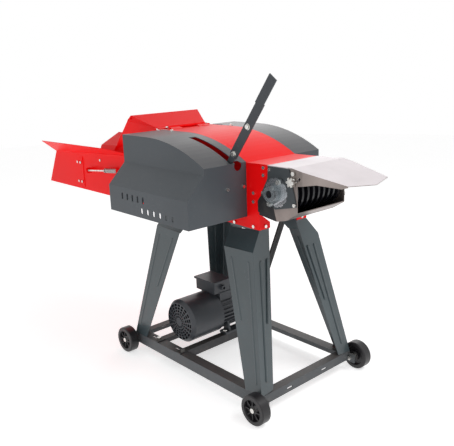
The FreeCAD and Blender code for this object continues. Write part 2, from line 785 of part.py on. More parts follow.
inner_tray = inner_tray.cut(Part.makeCylinder(5.3, 350, rod_start - rod_way * 10, rod_way))
tray_bolt = (-874, 894)
for x, z in splice_bolts + (tray_bolt,):
    inner_tray = inner_tray.cut(rod_along_y(x, z, bolt_hole, -200, 200))
keep("tray_inner", inner_tray)

# Tension rod with its nuts, and the coil spring wound on it
rod_length = 345
rod = Part.makeCylinder(5, rod_length, rod_start, rod_way)
for distance in (7, 20.5):
    nut = hex_bolt(*(rod_start + rod_way * distance), tuple(rod_way), 14, 7, 4, 1)
    rod = rod.fuse(nut)
stop_at = rod_start + rod_way * 200
rod = rod.fuse(Part.makeCylinder(14, 3, stop_at, rod_way))
keep("tension_rod", rod)


# A bend of the spring's wire from one point and direction to another, as two arcs
def arc_from(start, way, stop):
    chord = stop - start
    along = chord * (1 / chord.Length)
    cross = way - along * way.dot(along)
    turn = math.atan2(cross.Length, way.dot(along))
    rise = chord.Length / 2 * math.tan(turn / 2)
    middle = (start + stop) * 0.5 + cross.normalize() * rise
    return Part.Arc(start, middle, stop).toShape()


def two_arcs(start, way, stop, end_way):
    run = stop - start
    both = way + end_way
    spread = 2 * (1 - way.dot(end_way))
    root = math.sqrt(run.dot(both) ** 2 + spread * run.dot(run))
    reach = (root - run.dot(both)) / spread
    joint = (start + way * reach + stop - end_way * reach) * 0.5
    back = arc_from(stop, end_way * -1, joint)
    return [arc_from(start, way, joint), back]


spring_turns = 13
spring_round = 10.5
spring_wire = 1.6
spring_start = stop_at + rod_way * (3 + spring_wire + 0.3)
spring_length = 104
turn_rise = spring_length / spring_turns
knots = []
for index in range(spring_turns * 4 + 1):
    turn = math.radians(90 * index)
    point = Vector(spring_round * math.cos(turn), spring_round * math.sin(turn),
                   turn_rise * index / 4)
    way = Vector(-spring_round * math.sin(turn), spring_round * math.cos(turn),
                 turn_rise / (2 * math.pi)).normalize()
    knots.append((point, way))
edges = []
for (point, way), (following, next_way) in zip(knots[:-1], knots[1:]):
    edges.extend(two_arcs(point, way, following, next_way))
path = Part.Wire(Part.__sortEdges__(edges))
ring = Part.Wire(Part.makeCircle(spring_wire, knots[0][0], knots[0][1]))
coil = path.makePipeShell([ring], True, False)
expected = math.pi * spring_wire ** 2 * path.Length
print("spring volume over section times length: %.4f" % (coil.Volume / expected))
print("spring gap between turns: %.2f mm" % (turn_rise - 2 * spring_wire))
keep("tension_spring", coil, spring_start.x, spring_start.y, spring_start.z,
     Rotation(Vector(0, 0, 1), rod_way))

# Throat hood: a flared plate over the mouth of the tray with wings down to its walls
panels = []
folds = []
for side in (-1, 1):
    root = (-356, side * 146, 1092)
    lip = (-478, side * 201, 1147)
    brow = (-510, side * 200, 1124)
    tip = (-735, side * 149, 956)
    heel = (-356, side * 149, 956)
    panels.append([tip, heel, (-356, side * 149, 905), (-735, side * 149, 905)])
    folds.append((tip, heel))
    panels.append([root, lip, brow])
    panels.append([root, brow, tip])
    panels.append([root, tip, heel])
    folds.append((root, brow))
    folds.append((root, lip))
    folds.append((root, tip))
    folds.append((lip, brow))
panels.append([(-356, -146, 1092), (-356, 146, 1092), (-478, 201, 1147), (-478, -201, 1147)])
panels.append([(-478, -201, 1147), (-478, 201, 1147), (-481, 204, 1130), (-481, -204, 1130)])
folds.append(((-478, -201, 1147), (-478, 201, 1147)))
panels.append([(-356, -146, 1092), (-356, 146, 1092), (-321, 146, 1090), (-321, -146, 1090)])
folds.append(((-356, -146, 1092), (-356, 146, 1092)))
throat = folded(panels, folds, 2.4)
bar = box(-345, -321, -150, 150, 1086, 1090)
knuckle = rod_along_y(hinge_along, hinge_high, knuckle_round, -48, 48)
throat = throat.fuse([bar, knuckle, prism("XZ", -46, [(-340, 1090), (-312, 1088.5), (-310, 1092),
                                                       (-316, 1101), (-340, 1092)], 92)])
throat = throat.cut(rod_along_y(hinge_along, hinge_high, pin_bore, -60, 60))
keep("throat_hood", throat)

# Bed knife between the feed rollers and the rotor
bed = [(-148, 826), (-130, 826), (-130, 788), (-119, 788), (-119, 828), (-113, 832), (-113, 838),
       (-148, 838)]
plate("bed_knife", "XZ_Plane", -inside, [bed], inside * 2)

# Rotor: shaft, two discs with three knife beds, and three straight knives
shaft_near = -193
shaft_far = 276
hub = rod_along_y(0, 0, rotor_shaft, shaft_near, shaft_far)
discs = []
for y in (-108, 94):
    discs.append(rod_along_y(0, 0, 92, y, y + 14))
beds = []
knives = []
for index in range(3):
    turn = Rotation(Vector(0, 1, 0), 120 * index + 25)
    bar = box(60, 128, -132, 132, -16, 0)
    blade = prism("XZ", -130, [(96, -22), (138, -22), (145 - 0.4, -17), (145 - 2, -16.02),
                               (96, -16.02)], 260)
    bar.Placement = Placement(Vector(0, 0, 0), turn)
    blade.Placement = Placement(Vector(0, 0, 0), turn)
    beds.append(bar)
    knives.append(blade)
rotor = hub.fuse(discs + beds)
keep("rotor", rotor, rotor_along, 0, rotor_high)
keep("knives", Part.makeCompound(knives), rotor_along, 0, rotor_high)

# Far bearing of the rotor, bolted to the wall
bearing = [(rotor_shaft + run_gap, half), (46, half), (46, half + 9), (34, half + 12),
           (34, half + 30), (rotor_shaft + run_gap, half + 30)]
turned("rotor_bearing", rotor_along, rotor_high, bearing)


# Grooved pulley for two V-belts
def pulley_profile(bore, outer, spokes):
    y0 = belt_side - pulley_wide / 2
    y1 = belt_side + pulley_wide / 2
    profile = [(bore, y0 if not spokes else y0 + 8)]
    if spokes:
        profile = [(bore, y0), (bore + 16, y0), (bore + 16, belt_side - 6), (outer - 26, belt_side - 6),
                   (outer - 22, y0), (outer, y0)]
    else:
        profile = [(bore, y0), (outer, y0)]
    for index in (-0.5, 0.5):
        middle = belt_side + groove_pitch * index
        profile = profile + [(outer, middle - 8.8), (outer - groove_deep - 1.5, middle - 5.5),
                             (outer - groove_deep - 1.5, middle + 5.5), (outer, middle + 8.8)]
    profile.append((outer, y1))
    if spokes:
        profile = profile + [(outer - 22, y1), (outer - 26, belt_side + 6), (bore + 16, belt_side + 6),
                             (bore + 16, y1), (bore, y1)]
    else:
        profile.append((bore, y1))
    return profile


turned("rotor_pulley", rotor_along, rotor_high,
       pulley_profile(rotor_shaft, rotor_pulley_round, True))
turned("motor_pulley", motor_along, motor_high,
       pulley_profile(motor_shaft_round, motor_pulley_round, False))

# Two V-belts round both pulleys, just clear of the groove walls
belts = []
first = (float(rotor_along), float(rotor_high), float(rotor_pulley_round) - 5)
second = (float(motor_along), float(motor_high), float(motor_pulley_round) - 5)
dx = second[0] - first[0]
dz = second[1] - first[1]
span = math.hypot(dx, dz)
heading = math.atan2(dz, dx)
open_turn = math.acos((first[2] - second[2]) / span)
for index in (-0.5, 0.5):
    y = float(belt_side) + float(groove_pitch) * index

    def at(pulley, turn):
        return Vector(pulley[0] + pulley[2] * math.cos(turn), y,
                      pulley[1] + pulley[2] * math.sin(turn))

    high_turn = heading + open_turn
    low_turn = heading - open_turn
    edges = [Part.Arc(at(first, high_turn), at(first, heading + math.pi),
                      at(first, low_turn)).toShape(),
             Part.LineSegment(at(first, low_turn), at(second, low_turn)).toShape(),
             Part.Arc(at(second, low_turn), at(second, heading), at(second, high_turn)).toShape(),
             Part.LineSegment(at(second, high_turn), at(first, high_turn)).toShape()]
    loop = Part.Wire(edges)
    out = (at(first, high_turn) - Vector(first[0], y, first[1])).normalize()
    corner = at(first, high_turn)
    inner_half = 5.75
    outer_half = 8.4
    section = [corner - out * 6 - Vector(0, inner_half, 0), corner + out * 5 - Vector(0, outer_half, 0),
               corner + out * 5 + Vector(0, outer_half, 0), corner - out * 6 + Vector(0, inner_half, 0)]
    section = Part.makePolygon(section + section[:1])
    belts.append(loop.makePipeShell([section], True, False))
keep("drive_belts", Part.makeCompound(belts))


# Toothed feed rollers and the gears that make them turn together
def toothed(radius_root, radius_tip, teeth, root_part, tip_part, phase):
    corners = []
    step = 360.0 / teeth
    for index in range(teeth):
        middle = index * step + phase
        for radius, part in ((radius_root, -root_part), (radius_tip, -tip_part),
                             (radius_tip, tip_part), (radius_root, root_part)):
            turn = math.radians(middle + step * part)
            corners.append((radius * math.cos(turn), radius * math.sin(turn)))
    return corners


for label, high, phase, near_end, far_end in (("roller_lower", roller_low, 0, -190, 186),
                                              ("roller_upper", roller_high, 15, -164, 186)):
    teeth = toothed(float(roller_round) - 6, float(roller_round), 12, 0.3, 0.16, phase)
    drum = prism("XZ", -inside + 4, teeth, 2 * (inside - 4))
    drum = drum.fuse(rod_along_y(0, 0, roller_shaft, near_end, far_end))
    keep(label, drum, roller_along, 0, high)

pitch_round = (float(roller_high) - float(roller_low)) / 2
for label, high, phase in (("gear_lower", roller_low, 90), ("gear_upper", roller_high, 0)):
    step = 360.0 / gear_teeth
    first = 90 if label == "gear_lower" else -90 + step / 2
    teeth = toothed(pitch_round - 5.4, pitch_round + 3.6, gear_teeth, 0.3, 0.12, first)
    gear = prism("XZ", float(gear_side) - float(gear_wide) / 2 + 3, teeth, float(gear_wide) - 6)
    boss = rod_along_y(0, 0, 26, float(gear_side) - float(gear_wide) / 2, 186)
    gear = gear.fuse(boss)
    gear = gear.cut(rod_along_y(0, 0, roller_shaft, 100, 200))
    keep(label, gear, roller_along, 0, high)

# Sliding carriers of the upper roller, between the guides on the walls
for label, side in (("carrier_near", -1), ("carrier_far", 1)):
    carrier = box(roller_along - 35.9, roller_along + 35.9, half + 0.5, half + 17,
                  roller_high - 30, roller_high + 30)
    carrier = carrier.cut(rod_along_y(roller_along, roller_high, roller_shaft + run_gap, 100, 200))
    keep(label, mirrored(carrier, False, side < 0))

# Closed gear casing on the near wall
casing_out = 193
casing = [(-236, 742), (150, 742), (158, 750), (158, 952), (150, 960), (-92, 960), (-100, 952),
          (-100, 848), (-112, 834), (-228, 834), (-236, 826)]
gearbox = prism("XZ", -casing_out, casing, casing_out - half)
for x, z, radius in ((rotor_along, rotor_high, rotor_shaft), (roller_along, roller_low, roller_shaft)):
    gearbox = gearbox.cut(rod_along_y(x, z, radius + run_gap, -200, -130))
pivot = rod_along_y(lever_along, lever_high, 12, -228, -casing_out + 0.0)
gearbox = gearbox.fuse(pivot)
keep("gearbox", gearbox)

# Shift lever: a hub on the casing's stub shaft, a flat bar and a stepped handle
lever = rod_along_y(0, 0, 24, -212, -197)
lever = lever.fuse(box(-14, 14, -210, -205, 10, 250))
lever = lever.fuse(box(-20, 20, -210, -205, 215, 480))
lever = lever.fuse(box(-20, 20, -215, -210, 465, 590))
lever = lever.cut(rod_along_y(0, 0, 12 + 0.05, -240, -190))
keep("shift_lever", lever, lever_along, 0, lever_high, Rotation(Vector(0, 1, 0), float(lever_lean)))

# Motor: finned frame with feet, fan cowl, fan, shaft, terminal box and lid
fins = toothed(float(fin_round) - 9, float(fin_round), 30, 0.3, 0.18, 0)
frame = prism("XZ", -8, fins, 176)
frame = frame.fuse([rod_along_y(0, 0, 94, 166, 184), rod_along_y(0, 0, 60, 182, 205),
                    rod_along_y(0, 0, 94, -20, -6), rod_along_y(0, 0, 30, -30, -18)])
for side in (-1, 1):
    foot = box(60 if side > 0 else -108, 108 if side > 0 else -60, -5.5, 160, -100, -88)
    braces = []
    for across in (19, 118):
        braces.append(prism("XZ", across, [(side * 62, -90), (side * 104, -90), (side * 92, -40),
                                           (side * 70, -30)], 12))
    frame = frame.fuse([foot] + braces)
seat = box(-70, 70, -4, 66, 60, 105)
frame = frame.fuse(seat)
frame = frame.cut(rod_along_y(0, 0, motor_shaft_round + run_gap, -300, 300))
foot_x = float(foot_middle)
for x in (foot_x - foot_reach, foot_x + foot_reach):
    for y in foot_bolts:
        frame = frame.cut(Part.makeCylinder(foot_hole, 16, Vector(x - motor_along.value, y, -102)))
keep("motor_housing", frame, motor_along, 0, motor_high)

cowl = [(cowl_round, -8.3), (cowl_round, cowl_end + 22), (cowl_round - 14, cowl_end + 5),
        (40, cowl_end), (0, cowl_end), (0, cowl_end + 3), (40, cowl_end + 3),
        (cowl_round - 16, cowl_end + 8), (cowl_round - 3, cowl_end + 24), (cowl_round - 3, -30),
        (94, -30), (94, -8.3)]
fan_cowl = turned("fan_cowl", motor_along, motor_high, cowl)
doc.recompute()
grille_count = 20
slit_turn = math.radians(6)
slits = []
for ring in range(5):
    near_round = cowl_round * (0.2 + 0.135 * ring)
    far_round = near_round + cowl_round * 0.095
    slits.append([(reach * math.cos(turn), reach * math.sin(turn))
                  for reach, turn in ((near_round, -slit_turn), (far_round, -slit_turn),
                                      (far_round, slit_turn), (near_round, slit_turn))])
slit = pocket(fan_cowl, "XY_Plane", cowl_end + 30, slits, 60)
grille = fan_cowl.newObject("PartDesign::PolarPattern", "fan_cowl_grille")
grille.Originals = [slit]
grille.Axis = (slit.Profile[0], ["N_Axis"])
grille.Angle = 360
grille.Occurrences = grille_count
fan_cowl.Tip = grille

fan = rod_along_y(0, 0, 30, -170, -140)
for index in range(7):
    blade = box(20, 84, -172, -138, -2, 2)
    blade.Placement = Placement(Vector(0, 0, 0), Rotation(Vector(0, 1, 0), 360.0 / 7 * index))
    fan = fan.fuse(blade)
fan = fan.cut(rod_along_y(0, 0, motor_shaft_round, -300, 300))
keep("motor_fan", fan, motor_along, 0, motor_high)
turned("motor_shaft", motor_along, motor_high,
       [(0, -176), (motor_shaft_round, -176), (motor_shaft_round, 276), (0, 276)])
terminal = box(-255, -119, -34, 64, 300, 352)
terminal = terminal.cut(box(-249, -125, -28, 58, 304, 352))
gland = Part.makeCylinder(13, 16, Vector(-119.5, 15, 326), Vector(1, 0, 0))
gland = gland.cut(Part.makeCylinder(7, 16, Vector(-110, 15, 326), Vector(1, 0, 0)))
keep("terminal_box", terminal.fuse(gland))
lid = [(-264, -40), (-110, -40), (-110, 70), (-264, 70)]
plate("terminal_lid", "XY_Plane", 352, [lid], 10)

# Outlet: side plates, floor, fixed top and the tilting deflector
end_x = float(chute_end)
plate_top = float(lip_high) - shell
neck_top = [(float(lip_end) + 0.4, plate_top), (float(lip_end) - 3.6, 937)]
pan_line = [(drum_x - 3, drum_z - 116), (drum_x + 44, drum_z - 105), (end_x, drum_z - 71)]
side_edge = neck_top + [(neck_x + 13.9, neck_z + 73.2), (drum_x - 21.4, drum_z - 60.2),
                        (drum_x - 13.3, drum_z - 89.6), (drum_x - 4.6, drum_z - 116)] + pan_line
side_edge = side_edge + [(end_x, drum_z + 36), (end_x + 5, tilt_high - 24),
                         (end_x + 5, tilt_high + 10), (end_x + 1, plate_top)]
knob_x = end_x - 9
knob_z = float(tilt_high) - 31
drum_bore = drum_shaft + 3
for label, start in (("outlet_side_near", half - shell), ("outlet_side_far", -half)):
    plate(label, "XZ_Plane", start, [side_edge, ("round", drum_along, drum_high, drum_bore),
                                     ("round", tilt_along, tilt_high, 5),
                                     ("round", knob_x, knob_z, 4)], shell)
pan_top = [(drum_x - 5.6, drum_z - 111), (drum_x - 3, drum_z - 112.8), (drum_x + 43.2, drum_z - 102),
           (end_x - 1, drum_z - 67.6)]
pan_low = [(end_x - 0.4, drum_z - 70.6), (drum_x + 44.4, drum_z - 104.8), (drum_x - 3, drum_z - 115.8),
           (drum_x - 5.6, drum_z - 115.8)]
plate("outlet_pan", "XZ_Plane", -inside, [pan_top + pan_low], inside * 2)
top_start = lip_end + 0.5
top_end = tilt_along - 20
top_half = body_half + 5
plate("outlet_top", "XY_Plane", plate_top, [[(top_start, -top_half), (top_end, -top_half),
                                             (top_end, top_half), (top_start, top_half)]], shell)

roof_low = float(lip_high) + float(seat_gap)
roof_slope = -0.165
tilt_x = float(tilt_along)
tilt_z = float(tilt_high)
bend_x = tilt_x + 26
nose_x = float(nose_reach)
nose_z = roof_low + (nose_x - bend_x) * roof_slope
chamfer_x = nose_x - 33
skirt_half = half + 11
roof = [(tilt_x - 30, roof_low), (bend_x, roof_low), (nose_x, nose_z), (nose_x, nose_z + 2),
        (bend_x, roof_low + 2), (tilt_x - 30, roof_low + 2)]
deflector = prism("XZ", -skirt_half, roof, 2 * skirt_half)
for side in (-1, 1):
    chamfer_z = roof_low + (chamfer_x - bend_x) * roof_slope
    skirt = prism("XZ", skirt_half - 2 if side > 0 else -skirt_half,
                  [(tilt_x - 15, roof_low + 0.7), (tilt_x - 15, tilt_z - 48), (tilt_x + 12, tilt_z - 48),
                   (tilt_x + 97, tilt_z - 31), (chamfer_x - 43, tilt_z - 31),
                   (chamfer_x, chamfer_z - 4), (chamfer_x, chamfer_z + 0.6), (bend_x, roof_low + 0.2)], 2)
    deflector = deflector.fuse(skirt)
nose = [(chamfer_x, -skirt_half - 7), (chamfer_x, -skirt_half + 2), (nose_x, -46), (nose_x + 15, -46),
        (nose_x + 15, -skirt_half - 7)]
corner_cut = prism("XY", nose_z - 50, nose, 100)
deflector = deflector.cut(corner_cut)
deflector = deflector.cut(mirrored(corner_cut, False, True))
for side in (-1, 1):
    y0 = half + 6 if side > 0 else -half - 14
    deflector = deflector.cut(rod_along_y(tilt_along, tilt_high, 5.3, y0, y0 + 8))
    arc_slot = rod_along_y(tilt_along, tilt_high, 36.6, y0, y0 + 8)
    arc_slot = arc_slot.cut(rod_along_y(tilt_along, tilt_high, 26.6, y0 - 1, y0 + 9))
    first = math.radians(-97.4 - 11)
    last = math.radians(-97.4 + 72)
    reach = 80
    sector = [(tilt_x, tilt_z)]
    for index in range(9):
        turn = first + (last - first) * index / 8
        sector.append((tilt_x + reach * math.cos(turn), tilt_z + reach * math.sin(turn)))
    arc_slot = arc_slot.common(prism("XZ", y0, sector, 8))
    deflector = deflector.cut(arc_slot)
keep("deflector", deflector)

knobs = []
for side in (-1, 1):
    stem = rod_along_y(knob_x, knob_z, 4, inside if side > 0 else -half - 20,
                       half + 20 if side > 0 else -inside)
    knob_points = toothed(13, 19, 6, 0.34, 0.18, 0)
    start = half + 13 if side > 0 else -half - 31
    star = prism("XZ", start, [(knob_x + a, knob_z + b) for a, b in knob_points], 18)
    knobs.append(stem.fuse(star))
keep("clamp_knobs", Part.makeCompound(knobs))

# Bearing plates, rings and flange bearings of the ribbed drum
cover_edge = [neck_top[0], (end_x - 35, plate_top), (end_x - 28, drum_z + 72), (end_x - 21, drum_z + 40),
              (end_x, drum_z - 44), (drum_x - 9, drum_z - 68), (neck_x + 15, neck_z + 75), neck_top[1]]
plate_bolts = ((end_x - 9, drum_z - 37), (drum_x - 33, drum_z + 85), (drum_x - 71, drum_z - 9))
for label, start in (("bearing_plate_near", half), ("bearing_plate_far", -half - 4)):
    holes = [("round", drum_along, drum_high, drum_bore)]
    for x, z in plate_bolts:
        holes.append(("round", x, z, bolt_hole))
    plate(label, "XZ_Plane", start, [cover_edge] + holes, 4)
rings = []
bearings = []
drum_middle = Vector(drum_x, 0, drum_z)
for side in (-1, 1):
    y0 = half + 4 if side > 0 else -half - 7
    notch_points = toothed(54, 58, 12, 0.4, 0.3, 0)
    ring = prism("XZ", y0, [(drum_x + a, drum_z + b) for a, b in notch_points], 3)
    rings.append(ring.cut(rod_along_y(drum_along, drum_high, drum_bore, y0 - 1, y0 + 4)))
    y1 = half + 7 if side > 0 else -half - 19
    flange = rod_along_y(drum_along, drum_high, 38, y1, y1 + 12)
    ear_way = Vector(50, 0, 93).normalize()
    for way in (-1, 1):
        ear = drum_middle + ear_way * (50 * way)
        lobe = rod_along_y(ear.x, ear.z, 13, y1, y1 + 12)
        across = Vector(ear_way.z, 0, -ear_way.x)
        corners = [drum_middle + across * 36 + ear_way * (8 * way),
                   ear + across * 12.5 + ear_way * (3 * way), ear - across * 12.5 + ear_way * (3 * way),
                   drum_middle - across * 36 + ear_way * (8 * way)]
        web = prism("XZ", y1, [(corner.x, corner.z) for corner in corners], 12)
        flange = flange.fuse([lobe, web])
    y2 = half + 7 if side > 0 else -half - 48
    flange = flange.fuse(rod_along_y(drum_along, drum_high, 29, y2, y2 + 41))
    flange = flange.cut(rod_along_y(drum_along, drum_high, drum_shaft + run_gap, -300, 300))
    for way in (-1, 1):
        ear = drum_middle + ear_way * (50 * way)
        flange = flange.cut(rod_along_y(ear.x, ear.z, 5.1, y1 - 1, y1 + 13))
    bearings.append(flange)
keep("bearing_rings", Part.makeCompound(rings))
keep("drum_bearings", Part.makeCompound(bearings))

shaft_end = body_half + 44
ribs = [(0, -shaft_end), (drum_shaft, -shaft_end), (drum_shaft, -134)]
for index in range(9):
    y = 31 * (index - 4)
    if index == 0:
        ribs.append((drum_round, -134))
    else:
        ribs = ribs + [(drum_round - 16, y - 7), (drum_round, y - 5)]
    if index == 8:
        ribs.append((drum_round, 134))
    else:
        ribs = ribs + [(drum_round, y + 5), (drum_round - 16, y + 7)]
ribs = ribs + [(drum_shaft, 134), (drum_shaft, shaft_end), (0, shaft_end)]
turned("drum", drum_along, drum_high, ribs)

# Bolts of the fixed sheet metal and of the motor, all of one pattern
bolts = []
for end in (-1, 1):
    for side in (-1, 1):
        for x in corner_bolts:
            bolts.append(hex_bolt(end * x, side * half, lug_bolt_high, (0, side, 0), 13, 5.5, 4, 8))
        bolts.append(hex_bolt(end * corner_along, side * end_bolt_side, lug_bolt_high, (end, 0, 0),
                              13, 5.5, 4, 8))
for x, z in plate_bolts:
    for side in (-1, 1):
        bolts.append(hex_bolt(x, side * (half + 4), z, (0, side, 0), 13, 5.5, 4, 3.5))
for side in (-1, 1):
    for way in (-1, 1):
        ear = drum_middle + ear_way * (50 * way)
        bolts.append(hex_bolt(ear.x, side * (half + 19), ear.z, (0, side, 0), 17, 7, 5, 11))
    pin = hex_bolt(tilt_along, side * (skirt_half + 2.5), tilt_high, (0, side, 0), 15, 6, 4.9, 16)
    bolts.append(pin)
for x in (foot_x - foot_reach, foot_x + foot_reach):
    for y in foot_bolts:
        bolts.append(hex_bolt(x, y, float(motor_high) - 88, (0, 0, 1), 18, 8, 6, 17))
    for y in rail_bolts:
        bolts.append(hex_bolt(x, y, float(motor_seat), (0, 0, 1), 18, 8, 6, 4.8))
for x, z in splice_bolts:
    for side in (-1, 1):
        bolts.append(hex_bolt(x, side * 156, z, (0, side, 0), 13, 5.5, 4, 7))
for side in (-1, 1):
    for x, z in wall_bolts:
        bolts.append(hex_bolt(x, side * half, z, (0, side, 0), 13, 5.5, 4, 4))
    bolts.append(hex_bolt(tray_bolt[0], side * float(tray_side), tray_bolt[1], (0, side, 0), 13, 5.5, 4, 5))
for y in cover_bolt_sides:
    bolts.append(hex_bolt(face_along, -y, cover_bolt_high, (1, 0, 0), 13, 5.5, 4, 6))
keep("machine_bolts", Part.makeCompound(bolts))

doc.recompute()

os.makedirs("parts", exist_ok=True)
kinds = ("PartDesign::Body", "Part::Feature")
ready = []
faulty = []
for thing in doc.Objects:
    if "Invalid" in thing.State or "Error" in thing.State:
        faulty.append(thing.Label)
for thing in doc.Objects:
    if thing.TypeId in kinds:
        if thing.Shape.isNull() or not thing.Shape.isValid():
            faulty.append(thing.Label)
        ready.append(thing)
if faulty:
    raise RuntimeError("failed: " + ", ".join(faulty))
for thing in ready:
    thing.Shape.exportStep("parts/%s.step" % thing.Label)
print("wrote %d parts" % len(ready))
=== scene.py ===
import bpy
import bmesh
import math
from mathutils import Matrix, Vector


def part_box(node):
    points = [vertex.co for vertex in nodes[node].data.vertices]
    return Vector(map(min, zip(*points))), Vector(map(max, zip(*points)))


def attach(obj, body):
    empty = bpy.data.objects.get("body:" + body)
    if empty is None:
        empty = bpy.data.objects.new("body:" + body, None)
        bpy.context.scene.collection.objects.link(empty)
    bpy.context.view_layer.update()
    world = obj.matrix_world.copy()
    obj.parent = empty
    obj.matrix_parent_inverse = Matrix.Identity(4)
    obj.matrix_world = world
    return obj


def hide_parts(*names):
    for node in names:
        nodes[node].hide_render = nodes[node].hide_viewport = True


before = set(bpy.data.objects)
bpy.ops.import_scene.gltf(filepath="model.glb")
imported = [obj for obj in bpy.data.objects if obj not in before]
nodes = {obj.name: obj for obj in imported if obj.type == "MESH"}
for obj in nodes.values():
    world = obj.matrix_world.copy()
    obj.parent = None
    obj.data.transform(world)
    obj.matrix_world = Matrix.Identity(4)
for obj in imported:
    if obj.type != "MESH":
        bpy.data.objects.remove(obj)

# The machine's own middle: lengths below are in metres from the centre of its base,
# as a fitter would measure them from the wheels, with the ground at nought.
near_low, near_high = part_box("side_rail_near")
far_low, far_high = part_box("side_rail_far")
centre_x = (near_low[0] + near_high[0]) / 2
centre_y = (near_low[1] + far_high[1]) / 2


def at(x, y, z):
    return Vector((centre_x + x, centre_y + y, z))


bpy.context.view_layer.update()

# Camera above the outlet end on the lever side, tipped down and rolled a little.
# The lens is slightly longer than normal.
azimuth = math.radians(48.49)
tip = math.radians(14.76)
roll = math.radians(-1.92)
back = Vector((math.sin(azimuth) * math.cos(tip), -math.cos(azimuth) * math.cos(tip), math.sin(tip)))
level = (-back).cross(Vector((0, 0, 1))).normalized()
upright = level.cross(-back)
right = level * math.cos(roll) + upright * math.sin(roll)
above = upright * math.cos(roll) - level * math.sin(roll)
lens = bpy.data.cameras.new("camera")
lens.sensor_width = 36
lens.lens = 48.32
lens.clip_end = 60
camera = bpy.data.objects.new("camera", lens)
camera.matrix_world = (Matrix.Translation(at(1.977, -1.794, 1.375))
                       @ Matrix((right, above, back)).transposed().to_4x4())
scene = bpy.context.scene
scene.collection.objects.link(camera)
scene.camera = camera
scene.view_settings.view_transform = "Standard"

# White room: soft light from all round, while the camera, gloss and glass see plain white.
# One broad lamp over the outlet end gives the lit side, two weak ones lift the shadows.
world = bpy.data.worlds.new("room")
scene.world = world
world.use_nodes = True
room = world.node_tree
soft = room.nodes["Background"]
soft.inputs["Color"].default_value = (1, 1, 1, 1)
soft.inputs["Strength"].default_value = 0.42
white = room.nodes.new("ShaderNodeBackground")
white.inputs["Color"].default_value = (1, 1, 1, 1)
white.inputs["Strength"].default_value = 1.0
path = room.nodes.new("ShaderNodeLightPath")
seen = room.nodes.new("ShaderNodeMath")
seen.operation = "MAXIMUM"
through = room.nodes.new("ShaderNodeMath")
through.operation = "MAXIMUM"
mix = room.nodes.new("ShaderNodeMixShader")
room.links.new(path.outputs["Is Camera Ray"], seen.inputs[0])
room.links.new(path.outputs["Is Glossy Ray"], seen.inputs[1])
room.links.new(seen.outputs["Value"], through.inputs[0])
room.links.new(path.outputs["Is Transmission Ray"], through.inputs[1])
room.links.new(through.outputs["Value"], mix.inputs["Fac"])
room.links.new(soft.outputs["Background"], mix.inputs[1])
room.links.new(white.outputs["Background"], mix.inputs[2])
room.links.new(mix.outputs["Shader"], room.nodes["World Output"].inputs["Surface"])
for name, place, wide, power in (("key", at(2.2, 0.6, 3.2), 2.0, 46),
                                 ("near_fill", at(0.4, -3.4, 1.5), 2.4, 14),
                                 ("far_fill", at(-2.0, 3.0, 2.2), 2.4, 14)):
    lamp = bpy.data.lights.new(name, "AREA")
    lamp.shape = "RECTANGLE"
    lamp.size = wide
    lamp.size_y = wide * 0.7
    lamp.energy = power
    light = bpy.data.objects.new(name, lamp)
    light.location = place
    light.rotation_euler = (at(0, 0, 0.8) - place).to_track_quat("-Z", "Y").to_euler()
    scene.collection.objects.link(light)

# Floor: a plain pale disc of card that the machine stands on and throws its shadow on.
# A little light of its own keeps it as white as the room behind it.
disc = bmesh.new()
bmesh.ops.create_circle(disc, cap_ends=True, segments=96, radius=9)
floor_mesh = bpy.data.meshes.new("floor")
disc.to_mesh(floor_mesh)
disc.free()
floor = bpy.data.objects.new("floor", floor_mesh)
scene.collection.objects.link(floor)
floor.location = (0, 0, -0.0005)
card = bpy.data.materials.new("floor_card")
card.use_nodes = True
paper = card.node_tree.nodes["Principled BSDF"]
paper.inputs["Base Color"].default_value = (0.86, 0.86, 0.86, 1)
paper.inputs["Roughness"].default_value = 0.9
paper.inputs["Specular IOR Level"].default_value = 0.1
paper.inputs["Emission Color"].default_value = (1, 1, 1, 1)
paper.inputs["Emission Strength"].default_value = 0.6
floor_mesh.materials.append(card)


